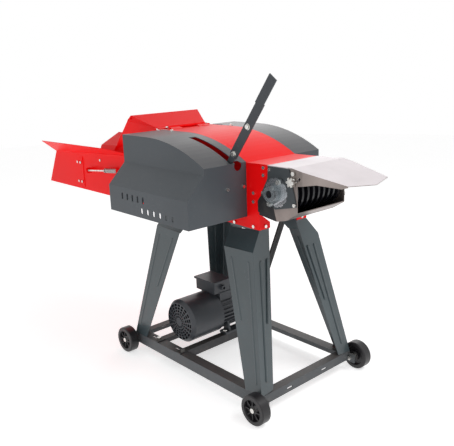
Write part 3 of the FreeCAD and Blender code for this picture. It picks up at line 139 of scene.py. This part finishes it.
# Base frame: side and end rails of hot-rolled angle, brushed with grey-green enamel.
# The faces that look up are given a browner tone than the upright faces, and shed dust lies in
# patches all over.
def enamel(name, colour, rough, vary=0.12, gloss=0.3, coat=0.0, peel=0.12, dust=0.0, top=None,
           wear=0.0):
    paint = bpy.data.materials.new(name)
    paint.use_nodes = True
    tree = paint.node_tree
    add = tree.nodes.new
    link = tree.links.new
    shader = tree.nodes["Principled BSDF"]
    shader.inputs["Specular IOR Level"].default_value = gloss
    shader.inputs["Coat Weight"].default_value = coat
    shader.inputs["Coat Roughness"].default_value = 0.15
    place = add("ShaderNodeTexCoord").outputs["Object"]

    def noise(scale, detail):
        cloud = add("ShaderNodeTexNoise")
        cloud.inputs["Scale"].default_value = scale
        cloud.inputs["Detail"].default_value = detail
        link(place, cloud.inputs["Vector"])
        return cloud.outputs["Fac"]

    def ramp(source, start, first, stop, last):
        band = add("ShaderNodeValToRGB")
        band.color_ramp.elements[0].position = start
        band.color_ramp.elements[0].color = (*first, 1)
        band.color_ramp.elements[1].position = stop
        band.color_ramp.elements[1].color = (*last, 1)
        link(source, band.inputs["Fac"])
        return band.outputs["Color"]

    def over(mask, under, colour_over):
        blend = add("ShaderNodeMix")
        blend.data_type = "RGBA"
        link(mask, blend.inputs["Factor"])
        link(under, blend.inputs[6])
        blend.inputs[7].default_value = (*colour_over, 1)
        return blend.outputs[2]

    tone = ramp(noise(2.6, 4), 0.32, [part * (1 - vary) for part in colour],
                0.68, [min(1.0, part * (1 + vary)) for part in colour])
    # With top given, faces that look upward are blended towards that colour by their normal: painted
    # light on the covers' arched tops, a plain warmer tone on the rails and motor rails.
    if top is not None:
        facing = add("ShaderNodeNewGeometry")
        split = add("ShaderNodeSeparateXYZ")
        link(facing.outputs["Normal"], split.inputs["Vector"])
        tone = over(ramp(split.outputs["Z"], 0.72, (0, 0, 0), 0.97, (0.8, 0.8, 0.8)), tone, top)
    if dust > 0:
        tone = over(ramp(noise(24, 8), 0.55, (0, 0, 0), 0.76, (dust, dust, dust)), tone,
                    (0.2, 0.18, 0.15))
    if wear > 0:
        tone = over(ramp(noise(70, 10), 0.66, (0, 0, 0), 0.72, (wear, wear, wear)), tone,
                    [min(1.0, part * 1.8 + 0.05) for part in colour])
    link(tone, shader.inputs["Base Color"])
    grit = noise(240, 3)
    spread = add("ShaderNodeMapRange")
    spread.inputs["To Min"].default_value = max(0.05, rough - 0.08)
    spread.inputs["To Max"].default_value = min(1.0, rough + 0.08)
    link(grit, spread.inputs["Value"])
    link(spread.outputs["Result"], shader.inputs["Roughness"])
    relief = add("ShaderNodeBump")
    relief.inputs["Strength"].default_value = peel
    relief.inputs["Distance"].default_value = 0.0005
    link(grit, relief.inputs["Height"])
    link(relief.outputs["Normal"], shader.inputs["Normal"])
    return paint


def dress(material, *names):
    for name in names:
        mesh = nodes[name].data
        mesh.materials.clear()
        mesh.materials.append(material)


rail_enamel = enamel("rail_enamel", (0.078, 0.084, 0.09), 0.45, vary=0.2, dust=0.16, wear=0.3,
                     top=(0.085, 0.077, 0.074))
dress(rail_enamel, "side_rail_near", "side_rail_far", "end_rail_feed", "end_rail_outlet")

# Motor rails: two lighter angles across the frame with slotted flanges for the motor's feet.
# Their enamel is thinner and warmer than the frame's, with more shed dust on it.
motor_rail_enamel = enamel("motor_rail_enamel", (0.05, 0.05, 0.053), 0.5, vary=0.2, dust=0.22,
                           wear=0.3, top=(0.055, 0.05, 0.046))
dress(motor_rail_enamel, "motor_rail_feed", "motor_rail_outlet")

# Legs: pressed sheet angles with long stiffening ribs, sprayed grey-green and half glossy.
# Each stands on a rail's end and is bolted inside a corner of the body.
leg_enamel = enamel("leg_enamel", (0.047, 0.066, 0.074), 0.33, vary=0.14, gloss=0.5, coat=0.3,
                    dust=0.05, wear=0.25)
dress(leg_enamel, "leg_feed_near", "leg_feed_far", "leg_outlet_near", "leg_outlet_far")


# Wheels: moulded hard black plastic with eight radial ribs, turning on zinc-plated axle bolts.
# The plastic is evenly glossy with a fine moulding grain.
def moulded(name, colour, rough, gloss=0.5, vary=0.2, grain=300, relief_depth=0.2):
    plastic = bpy.data.materials.new(name)
    plastic.use_nodes = True
    tree = plastic.node_tree
    add = tree.nodes.new
    link = tree.links.new
    shader = tree.nodes["Principled BSDF"]
    shader.inputs["Specular IOR Level"].default_value = gloss
    place = add("ShaderNodeTexCoord").outputs["Object"]
    cloud = add("ShaderNodeTexNoise")
    cloud.inputs["Scale"].default_value = 18
    cloud.inputs["Detail"].default_value = 6
    link(place, cloud.inputs["Vector"])
    band = add("ShaderNodeValToRGB")
    band.color_ramp.elements[0].position = 0.35
    band.color_ramp.elements[0].color = (*[part * (1 - vary) for part in colour], 1)
    band.color_ramp.elements[1].position = 0.7
    band.color_ramp.elements[1].color = (*[part * (1 + vary) for part in colour], 1)
    link(cloud.outputs["Fac"], band.inputs["Fac"])
    link(band.outputs["Color"], shader.inputs["Base Color"])
    grit = add("ShaderNodeTexNoise")
    grit.inputs["Scale"].default_value = grain
    link(place, grit.inputs["Vector"])
    spread = add("ShaderNodeMapRange")
    spread.inputs["To Min"].default_value = max(0.05, rough - 0.1)
    spread.inputs["To Max"].default_value = min(1.0, rough + 0.1)
    link(grit.outputs["Fac"], spread.inputs["Value"])
    link(spread.outputs["Result"], shader.inputs["Roughness"])
    relief = add("ShaderNodeBump")
    relief.inputs["Strength"].default_value = relief_depth
    relief.inputs["Distance"].default_value = 0.0004
    link(grit.outputs["Fac"], relief.inputs["Height"])
    link(relief.outputs["Normal"], shader.inputs["Normal"])
    return plastic


wheel_black = moulded("wheel_black", (0.012, 0.011, 0.013), 0.34, gloss=0.45)
dress(wheel_black, "wheel_feed_near", "wheel_feed_far", "wheel_outlet_near", "wheel_outlet_far")


# Plated bolts: the axle bolts and every other hexagon bolt are bright zinc-plated steel.
# The plating is mottled and slightly dulled in patches.
def bare_metal(name, colour, rough, metal=0.9, vary=0.12, slow=30.0, stretch=(1, 1, 1), fine=300,
               depth=0.12):
    steel = bpy.data.materials.new(name)
    steel.use_nodes = True
    tree = steel.node_tree
    add = tree.nodes.new
    link = tree.links.new
    shader = tree.nodes["Principled BSDF"]
    shader.inputs["Metallic"].default_value = metal
    place = add("ShaderNodeTexCoord").outputs["Object"]
    cloud = add("ShaderNodeTexNoise")
    cloud.inputs["Scale"].default_value = slow
    cloud.inputs["Detail"].default_value = 5
    link(place, cloud.inputs["Vector"])
    band = add("ShaderNodeValToRGB")
    band.color_ramp.elements[0].position = 0.33
    band.color_ramp.elements[0].color = (*[part * (1 - vary) for part in colour], 1)
    band.color_ramp.elements[1].position = 0.67
    band.color_ramp.elements[1].color = (*[min(1.0, part * (1 + vary)) for part in colour], 1)
    link(cloud.outputs["Fac"], band.inputs["Fac"])
    link(band.outputs["Color"], shader.inputs["Base Color"])
    along = add("ShaderNodeMapping")
    along.inputs["Scale"].default_value = stretch
    link(place, along.inputs["Vector"])
    grain = add("ShaderNodeTexNoise")
    grain.inputs["Scale"].default_value = fine
    grain.inputs["Detail"].default_value = 4
    link(along.outputs["Vector"], grain.inputs["Vector"])
    spread = add("ShaderNodeMapRange")
    spread.inputs["To Min"].default_value = max(0.05, rough - 0.09)
    spread.inputs["To Max"].default_value = min(1.0, rough + 0.09)
    link(grain.outputs["Fac"], spread.inputs["Value"])
    link(spread.outputs["Result"], shader.inputs["Roughness"])
    relief = add("ShaderNodeBump")
    relief.inputs["Strength"].default_value = depth
    relief.inputs["Distance"].default_value = 0.0003
    link(grain.outputs["Fac"], relief.inputs["Height"])
    link(relief.outputs["Normal"], shader.inputs["Normal"])
    return steel


zinc = bare_metal("zinc_plate", (0.72, 0.71, 0.68), 0.24, metal=0.95, slow=60)
dress(zinc, "axle_bolts", "machine_bolts", "hinge_pin", "tension_rod")

# Motor: a finned cast housing on feet, a pressed fan cowl with a slotted grille, and a box
# for the terminals with an overhanging lid, all in one dark slate enamel.
motor_enamel = enamel("motor_enamel", (0.05, 0.055, 0.064), 0.4, vary=0.14, gloss=0.4, coat=0.1,
                      dust=0.08, peel=0.25)
dress(motor_enamel, "motor_housing", "fan_cowl", "terminal_box", "terminal_lid")
fan_black = moulded("fan_black", (0.02, 0.02, 0.02), 0.5)
dress(fan_black, "motor_fan")

# Shafts and feed rollers: turned steel, left bare and oiled, with tool marks round them.
shaft_steel = bare_metal("turned_steel", (0.38, 0.38, 0.38), 0.3, stretch=(1, 0.1, 1))
dress(shaft_steel, "motor_shaft", "rotor", "roller_lower", "roller_upper")

# Pulleys, gears, gear casing and bearing housings: sand-cast iron, machined where they run.
# The casing is left with its dark foundry skin.
cast_iron = bare_metal("cast_iron", (0.11, 0.112, 0.118), 0.55, metal=0.5, vary=0.2, slow=22,
                       fine=160, depth=0.4)
dress(cast_iron, "rotor_pulley", "motor_pulley", "gearbox", "gear_lower", "gear_upper",
      "rotor_bearing")

# Drive belts: two wrapped V-belts of black rubber and cord.
belt_cord = moulded("belt_cord", (0.02, 0.02, 0.021), 0.7, gloss=0.3, grain=500, relief_depth=0.4)
dress(belt_cord, "drive_belts")

# Body: two side walls, a curved hood, the throat and the feed tray, all folded from sheet
# and sprayed in bright red gloss enamel.
red_enamel = enamel("red_enamel", (0.95, 0.002, 0.003), 0.42, vary=0.04, gloss=0.12, coat=0.04,
                    peel=0.06)
dress(red_enamel, "wall_near", "wall_far", "hood", "tray_inner", "tray_outer", "throat_hood")

# Trough and roller carriers: unseen plate inside the body, in flat black primer.
black_primer = enamel("black_primer", (0.014, 0.014, 0.016), 0.5, vary=0.25, gloss=0.3, dust=0.1)
dress(black_primer, "body_floor", "carrier_near", "carrier_far")

# Knives: the rotor's three straight blades and the bed knife, ground bright along the edge.
ground_steel = bare_metal("ground_steel", (0.6, 0.6, 0.6), 0.22, metal=0.95, stretch=(0.1, 1, 1))
dress(ground_steel, "knives", "bed_knife")

# Side covers: folded sheet shells over the gears and over the belts, in slate enamel with a little
# scuffing and dust, and a lighter, browner tone on the arched tops that is painted light from above.
cover_enamel = enamel("cover_enamel", (0.06, 0.07, 0.08), 0.42, vary=0.1, gloss=0.32, coat=0.08,
                      dust=0.04, top=(0.088, 0.082, 0.084), wear=0.15)
dress(cover_enamel, "near_cover", "far_cover")


# Cover screws: a plated hexagon bolt on a plain washer holds each cover's roof down beside
# the hood. The corners of its head are rounded off a little.
def bolt_heads(name, places, body, across=0.013, deep=0.0055, washer=0.0095):
    washer_thick = 0.0016
    washer_middle = 0.0006
    head_seat = 0.0014
    corner_round = 0.0011
    point = across / math.sqrt(3)
    heads = bmesh.new()
    for place, way in places:
        turn = Vector(way).to_track_quat("Z", "Y").to_matrix().to_4x4()
        seat = Matrix.Translation(place) @ turn
        bmesh.ops.create_cone(heads, cap_ends=True, segments=24, radius1=washer, radius2=washer,
                              depth=washer_thick,
                              matrix=seat @ Matrix.Translation((0, 0, washer_middle)))
        head_middle = Matrix.Translation((0, 0, head_seat + deep / 2))
        head = bmesh.ops.create_cone(heads, cap_ends=True, segments=6, radius1=point, radius2=point,
                                     depth=deep, matrix=seat @ head_middle)
        top = [edge for edge in {edge for vert in head["verts"] for edge in vert.link_edges}
               if all((seat.inverted() @ vert.co).z > deep for vert in edge.verts)]
        bmesh.ops.bevel(heads, geom=top, offset=corner_round, offset_type="OFFSET", segments=2,
                        profile=0.5, affect="EDGES", material=-1)
    mesh = bpy.data.meshes.new(name)
    heads.to_mesh(mesh)
    heads.free()
    mesh.materials.append(zinc)
    piece = bpy.data.objects.new(name, mesh)
    scene.collection.objects.link(piece)
    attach(piece, body)


roof_top = 1.087
beside_hood = 0.152
bolt_heads("cover_screws", [(at(-0.229, -beside_hood, roof_top), (0, 0, 1)),
                            (at(-0.169, beside_hood, roof_top), (0, 0, 1))], "stand")

# Lever: a dark painted flat bar in two lengths that comes up through the near cover's slot.
# Two plated bolts join the lengths, with their heads towards the lever side.
lever_enamel = enamel("lever_enamel", (0.05, 0.056, 0.064), 0.4, vary=0.12, gloss=0.35, wear=0.3)
dress(lever_enamel, "shift_lever")
lever_face = -0.210
bolt_heads("lever_bolts", [(at(0.3225, lever_face, 1.140), (0, -1, 0)),
                           (at(0.2400, lever_face, 1.031), (0, -1, 0))],
           "gear_lever", across=0.017, deep=0.007, washer=0.012)

# Outlet: a fixed top in pale brushed sheet, and side plates and a curved floor in the same steel,
# painted darker and browner as painted shade on the faces that turn from the light.
pale_sheet = bare_metal("pale_sheet", (0.56, 0.515, 0.53), 0.42, metal=0.75, vary=0.05, slow=9,
                        stretch=(1, 1, 0.06), fine=420)
shade_painted_sheet = bare_metal("shade_painted_sheet", (0.27, 0.23, 0.215), 0.36, metal=0.85, vary=0.14, slow=12,
                         stretch=(1, 1, 0.06), fine=420)
dress(pale_sheet, "outlet_top")
dress(shade_painted_sheet, "outlet_side_near", "outlet_side_far", "outlet_pan")


# Deflector: one sheet of the same steel folded three times, to a roof that slopes from the
# hinge pins to a blunt point and a skirt down each side, each with a pin hole and a curved slot.
def deflector_sheet():
    gauge = 0.002
    half = 0.153
    roof_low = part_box("deflector")[1][2] - gauge
    fall = 0.196
    narrowing = 0.035
    rear, bend, shoulder, corner, point = 0.470, 0.490, 0.540, 0.719, 0.753
    pin_x, pin_z = 0.500, 0.974
    pin_hole = 0.0053
    slot_near, slot_far, slot_first, slot_last = 0.0266, 0.0366, -108.4, -25.4
    skirt_rear, skirt_low, skirt_end = 0.485, 0.926, corner - 0.002

    def inset(x):
        return max(0.0, x - shoulder) / (corner - shoulder) * narrowing

    def roof_at(x):
        return roof_low - max(0.0, x - bend) * fall

    sheet = bmesh.new()
    plan = [(x, side * (half - inset(x))) for side, row in ((-1, (rear, bend, shoulder, corner)),
                                                            (1, (corner, shoulder, bend, rear)))
            for x in row]
    plan.insert(4, (point, 0.0))
    face = sheet.faces.new([sheet.verts.new((x, y, 0)) for x, y in plan])
    bmesh.ops.recalc_face_normals(sheet, faces=[face])
    for line in (bend, shoulder, corner):
        bmesh.ops.bisect_plane(sheet, geom=sheet.faces[:] + sheet.edges[:] + sheet.verts[:],
                               plane_co=(line, 0, 0), plane_no=(1, 0, 0))
    for vert in sheet.verts:
        vert.co.z = roof_at(vert.co.x)
    raised = bmesh.ops.extrude_face_region(sheet, geom=sheet.faces[:])
    for item in raised["geom"]:
        if isinstance(item, bmesh.types.BMVert):
            item.co.z += gauge

    def ring(points):
        loop = [sheet.verts.new((x, 0, z)) for x, z in points]
        return [sheet.edges.new((loop[index - 1], loop[index])) for index in range(len(loop))]

    def around(radius, first, last, count):
        step = (last - first) / count
        return [(pin_x + radius * math.cos(math.radians(first + step * index)),
                 pin_z + radius * math.sin(math.radians(first + step * index)))
                for index in range(count + 1)]

    for side in (-1, 1):
        edge = [(skirt_rear, roof_low), (skirt_rear, skirt_low), (skirt_rear + 0.027, skirt_low),
                (0.597, 0.941), (0.694, 0.936), (skirt_end, roof_at(skirt_end) - 0.004),
                (skirt_end, roof_at(skirt_end)), (shoulder, roof_at(shoulder)), (bend, roof_low)]
        before = set(sheet.faces)
        lines = ring(edge) + ring(around(pin_hole, 0, 345, 23))
        lines = lines + ring(around(slot_far, slot_first, slot_last, 18)
                             + around(slot_near, slot_last, slot_first, 18))
        bmesh.ops.triangle_fill(sheet, edges=lines, use_beauty=True)
        flat = [item for item in sheet.faces if item not in before]
        region = flat + list({line for item in flat for line in item.edges})
        region = region + list({vert for item in flat for vert in item.verts})
        bmesh.ops.bisect_plane(sheet, geom=region, plane_co=(shoulder, 0, 0), plane_no=(1, 0, 0))
        flat = [item for item in sheet.faces if item not in before]
        for vert in {vert for item in flat for vert in item.verts}:
            vert.co.y = side * (half - inset(vert.co.x) - gauge)
        turned_down = bmesh.ops.extrude_face_region(sheet, geom=flat)
        for item in turned_down["geom"]:
            if isinstance(item, bmesh.types.BMVert):
                item.co.y += side * gauge
    bmesh.ops.recalc_face_normals(sheet, faces=sheet.faces[:])
    # Faces that look up take the pale sheet; the skirts take the darker copy of the same steel,
    # painted shade.
    for item in sheet.faces:
        item.material_index = 0 if abs(item.normal.z) > 0.5 else 1
    bmesh.ops.translate(sheet, vec=at(0, 0, 0), verts=sheet.verts[:])
    mesh = bpy.data.meshes.new("deflector_sheet")
    sheet.to_mesh(mesh)
    sheet.free()
    mesh.materials.append(pale_sheet)
    mesh.materials.append(shade_painted_sheet)
    piece = bpy.data.objects.new("deflector_sheet", mesh)
    scene.collection.objects.link(piece)
    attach(piece, "tilt_deflector")
    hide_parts("deflector")


deflector_sheet()

# Drum: the ribbed kneading drum in the mouth of the outlet, cast in one piece and left in
# its black foundry skin.
drum_black = moulded("drum_black", (0.006, 0.006, 0.009), 0.3, gloss=0.35, grain=200)
dress(drum_black, "drum")

# Drum bearings: flanged cast housings on dark plates, with a notched bright ring between.
# The housings are bright grey metal, a little mottled.
plate_enamel = enamel("plate_enamel", (0.05, 0.058, 0.064), 0.4, vary=0.12, gloss=0.35, wear=0.25)
dress(plate_enamel, "bearing_plate_near", "bearing_plate_far")
ring_steel = bare_metal("ring_steel", (0.62, 0.62, 0.64), 0.2, metal=0.95, slow=40)
dress(ring_steel, "bearing_rings")
bearing_grey = bare_metal("bearing_grey", (0.33, 0.36, 0.38), 0.28, metal=0.85, vary=0.18, slow=35)
dress(bearing_grey, "drum_bearings")

# Clamp knobs: cast stars, zinc plated, that lock the deflector's tilt through its curved slots.
dress(zinc, "clamp_knobs")

# Tension spring: oil-hardened wire, wound close, on the rod that leans along the tray.
spring_wire = bare_metal("spring_wire", (0.45, 0.44, 0.43), 0.3, slow=60)
dress(spring_wire, "tension_spring")
